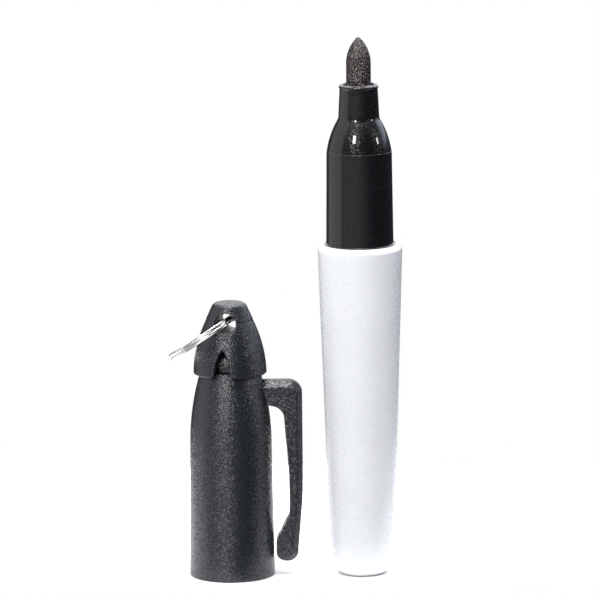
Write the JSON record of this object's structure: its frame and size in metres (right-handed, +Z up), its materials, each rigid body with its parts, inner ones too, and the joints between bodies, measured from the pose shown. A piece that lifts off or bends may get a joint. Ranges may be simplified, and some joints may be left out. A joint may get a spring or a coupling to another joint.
{
  "type": "felt tip marker",
  "caption": "Pocket-size felt tip marker standing on its tail, with its cap beside it: pocket clip, swivelling head and split ring.",
  "frame": {"origin": "on the pen's axis, at the flat of its tail", "axes": "+Z up along the pen from its tail to its nib; the cap stands on its mouth on the -X side, with its clip towards the pen"},
  "size_m": [0.0366, 0.0138, 0.085],
  "materials": {
    "barrel_plastic": "satin white moulded",
    "holder_plastic": "glossy black moulded",
    "felt": "ink-soaked pressed felt",
    "inked_fibre": "bundled fibre soaked in ink",
    "clear_film": "thin clear film",
    "cap_plastic": "fine spark-eroded texture",
    "natural_plastic": "natural, uncoloured moulded",
    "nickel": "bright nickel-plated steel wire"
  },
  "bodies": {
    "pen": {"barrel": "barrel_plastic", "nib_holder": "holder_plastic", "nib": "felt", "ink_reservoir": "inked_fibre", "reservoir_sleeve": "clear_film"},
    "cap": {"cap_shell": "cap_plastic", "inner_cap": "natural_plastic"},
    "clip": {"pocket_clip": "cap_plastic"},
    "head": {"ring_head": "cap_plastic"},
    "ring": {"split_ring": "nickel"}
  },
  "joints": [
    {"name": "cap_lift", "type": "slide", "parent": "pen", "child": "cap", "axis": [0, 0, 1], "range_m": [0, 0.09]},
    {"name": "clip_flex", "type": "hinge", "parent": "cap", "child": "clip", "pos_m": [-0.0156, 0, 0.0309], "axis": [0, -1, 0], "range_deg": [0, 4], "stiffness_Nm_per_rad": 1},
    {"name": "head_swivel", "type": "hinge", "parent": "cap", "child": "head", "pos_m": [-0.0205, 0, 0.034], "axis": [0, 0, 1], "continuous": true},
    {"name": "ring_swing", "type": "hinge", "parent": "head", "child": "ring", "pos_m": [-0.0205, 0, 0.0404], "axis": [0.2164, 0.9763, 0], "range_deg": [0, 232]}
  ]
}
